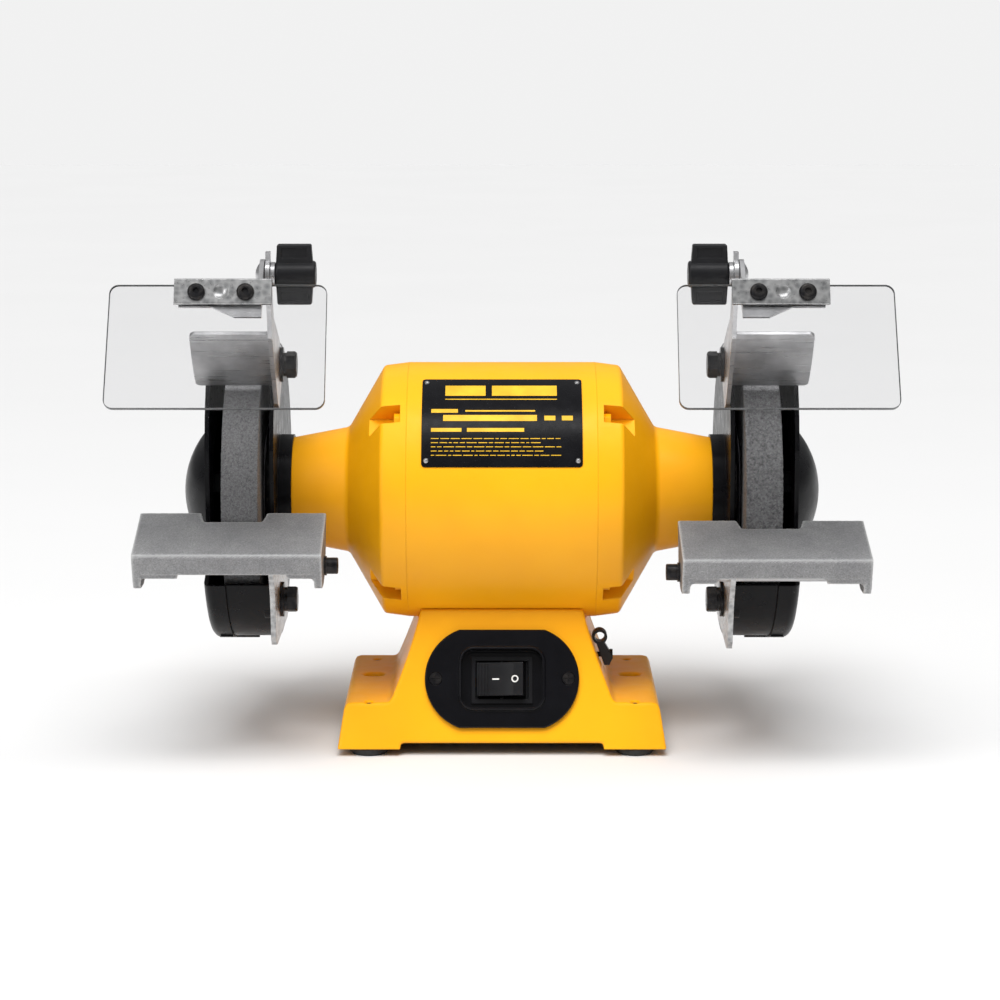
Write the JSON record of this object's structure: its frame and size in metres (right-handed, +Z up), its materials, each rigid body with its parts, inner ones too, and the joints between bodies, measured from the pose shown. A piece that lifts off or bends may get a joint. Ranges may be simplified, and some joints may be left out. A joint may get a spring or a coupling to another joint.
{
  "type": "bench grinder",
  "caption": "Bench grinder: an induction motor on a raked cast base turns an abrasive wheel at each end, with guards, spark deflectors, clear eye shields and tilting tool rests.",
  "frame": {"origin": "on the bench under the middle of the object's box", "axes": "+X along the shaft to the right as the user faces it, -Y towards the user, +Z up"},
  "size_m": [0.4098, 0.2256, 0.284],
  "materials": {
    "yellow_paint": "gloss enamel over a casting",
    "black_paint": "gloss",
    "nameplate_black": "satin print",
    "black_gloss_plastic": "gloss",
    "black_plastic": "matte",
    "wheel_fine": "fine bonded grit",
    "wheel_coarse": "coarse bonded grit",
    "bright_steel": "brushed",
    "zinc_plate": "bright zinc",
    "black_oxide": "black oxide",
    "bearing_steel": "ground",
    "core_steel": "laminated",
    "copper": "enamelled wire",
    "cast_rest": "rough sand cast",
    "clear_plastic": "clear",
    "rubber": "matte",
    "blotter_paper": "pressed paper",
    "capacitor_can": "drawn"
  },
  "bodies": {
    "root": {"base_casting": "yellow_paint", "base_cover": "black_paint", "base_screws": "black_oxide", "rubber_feet": "rubber", "motor_frame": "yellow_paint", "left_end_bell": "yellow_paint", "right_end_bell": "yellow_paint", "stator_core": "core_steel", "stator_windings": "copper", "bearing_outer_rings": "bearing_steel", "through_bolts": "zinc_plate", "nameplate": "nameplate_black", "nameplate_rivets": "zinc_plate", "start_capacitor": "capacitor_can", "capacitor_clip": "zinc_plate", "cord_gland": "black_plastic", "cord_clip": "black_plastic", "switch_plate": "black_gloss_plastic", "switch_body": "black_plastic", "switch_screws": "black_oxide", "left_inner_guard": "black_paint", "right_inner_guard": "black_paint", "left_guard_cover": "black_paint", "right_guard_cover": "black_paint", "guard_cover_screws": "black_oxide", "guard_mount_screws": "zinc_plate", "deflector_bolts": "black_oxide", "rest_bracket_bolts": "black_oxide"},
    "spindle": {"shaft": "bright_steel", "rotor_core": "core_steel", "bearing_inner_rings": "bearing_steel", "bearing_balls": "bearing_steel", "left_wheel": "wheel_fine", "right_wheel": "wheel_coarse", "wheel_flanges": "black_oxide", "wheel_blotters": "blotter_paper", "arbor_nuts": "bright_steel"},
    "rocker": {"switch_rocker": "black_plastic"},
    "left_deflector": {"left_spark_deflector": "bright_steel", "left_knob_bolt": "bright_steel"},
    "left_shield": {"left_shield_bracket": "bright_steel", "left_shield_pane": "clear_plastic", "left_clamp_bar": "zinc_plate", "left_clamp_screws": "black_oxide"},
    "left_knob": {"left_wing_knob": "black_plastic"},
    "left_rest_arm": {"left_rest_bracket": "zinc_plate", "left_rest_rod": "bright_steel", "left_rest_screw": "black_oxide"},
    "left_rest": {"left_tool_rest": "cast_rest"},
    "right_deflector": {"right_spark_deflector": "bright_steel", "right_knob_bolt": "bright_steel"},
    "right_shield": {"right_shield_bracket": "bright_steel", "right_shield_pane": "clear_plastic", "right_clamp_bar": "zinc_plate", "right_clamp_screws": "black_oxide"},
    "right_knob": {"right_wing_knob": "black_plastic"},
    "right_rest_arm": {"right_rest_bracket": "zinc_plate", "right_rest_rod": "bright_steel", "right_rest_screw": "black_oxide"},
    "right_rest": {"right_tool_rest": "cast_rest"}
  },
  "joints": [
    {"name": "spindle_spin", "type": "hinge", "parent": "root", "child": "spindle", "pos_m": [0, 0.0272, 0.1385], "axis": [1, 0, 0], "continuous": true},
    {"name": "switch_rock", "type": "hinge", "parent": "root", "child": "rocker", "pos_m": [0, -0.0191, 0.03862], "axis": [0, 0.3437, 0.9391], "range_deg": [0, 18]},
    {"name": "left_deflector_slide", "type": "slide", "parent": "root", "child": "left_deflector", "axis": [0, -0.7071, 0.7071], "range_m": [0, 0.008]},
    {"name": "left_shield_tilt", "type": "hinge", "parent": "left_deflector", "child": "left_shield", "pos_m": [-0.126, -0.0608, 0.268], "axis": [-1, 0, 0], "range_deg": [-15, 80]},
    {"name": "left_knob_turn", "type": "hinge", "parent": "left_deflector", "child": "left_knob", "pos_m": [-0.11, -0.0608, 0.268], "axis": [1, 0, 0], "continuous": true},
    {"name": "left_rest_slide", "type": "slide", "parent": "root", "child": "left_rest_arm", "axis": [0, -1, 0], "range_m": [0, 0.012]},
    {"name": "left_rest_tilt", "type": "hinge", "parent": "left_rest_arm", "child": "left_rest", "pos_m": [-0.145, -0.0648, 0.1125], "axis": [1, 0, 0], "range_deg": [-5, 25]},
    {"name": "right_deflector_slide", "type": "slide", "parent": "root", "child": "right_deflector", "axis": [0, -0.7071, 0.7071], "range_m": [0, 0.008]},
    {"name": "right_shield_tilt", "type": "hinge", "parent": "right_deflector", "child": "right_shield", "pos_m": [0.126, -0.0608, 0.268], "axis": [-1, 0, 0], "range_deg": [-15, 80]},
    {"name": "right_knob_turn", "type": "hinge", "parent": "right_deflector", "child": "right_knob", "pos_m": [0.11, -0.0608, 0.268], "axis": [1, 0, 0], "continuous": true},
    {"name": "right_rest_slide", "type": "slide", "parent": "root", "child": "right_rest_arm", "axis": [0, -0.9973, -0.0732], "range_m": [0, 0.012]},
    {"name": "right_rest_tilt", "type": "hinge", "parent": "right_rest_arm", "child": "right_rest", "pos_m": [0.145, -0.06667, 0.10935], "axis": [1, 0, 0], "range_deg": [-5, 25]}
  ]
}
